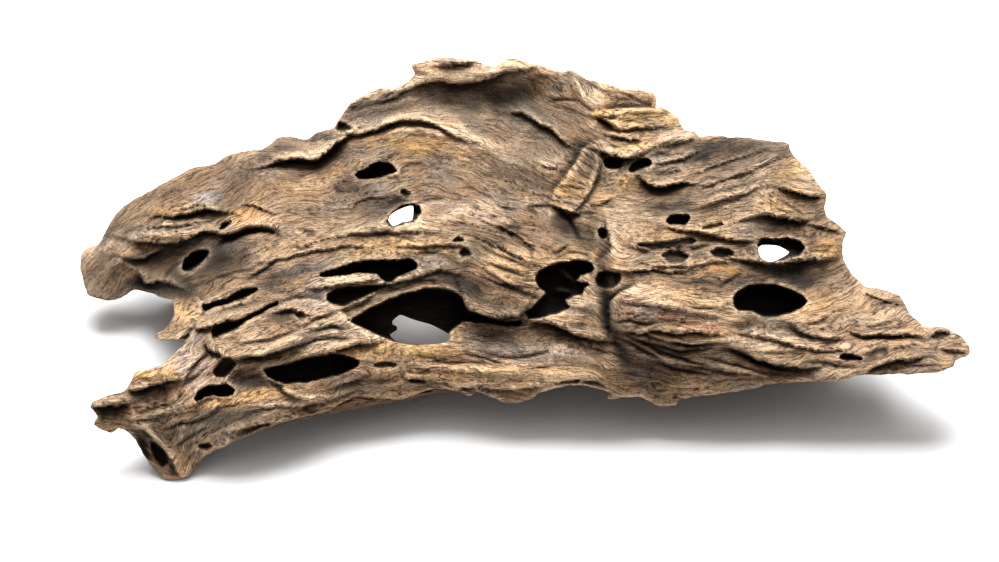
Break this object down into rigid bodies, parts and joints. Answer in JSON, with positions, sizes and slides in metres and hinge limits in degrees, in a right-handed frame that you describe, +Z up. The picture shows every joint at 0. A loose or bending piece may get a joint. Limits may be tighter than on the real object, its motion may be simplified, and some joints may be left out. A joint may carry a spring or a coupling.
{
  "type": "driftwood piece",
  "caption": "Low spreading piece of weathered driftwood: a hollow shell of wood with open holes, dark pits, ridges and flaking layers, resting on a front foot and two roots.",
  "frame": {"origin": "middle of the bounding box in plan, on the ground that the piece stands on", "axes": "+X along the length towards the narrow tip, +Y from the low front edge to the high back edge, +Z up"},
  "size_m": [0.3606, 0.1926, 0.0956],
  "materials": {
    "wood": "weathered, dry, matt"
  },
  "bodies": {
    "root": {"driftwood": "wood"}
  },
  "joints": []
}
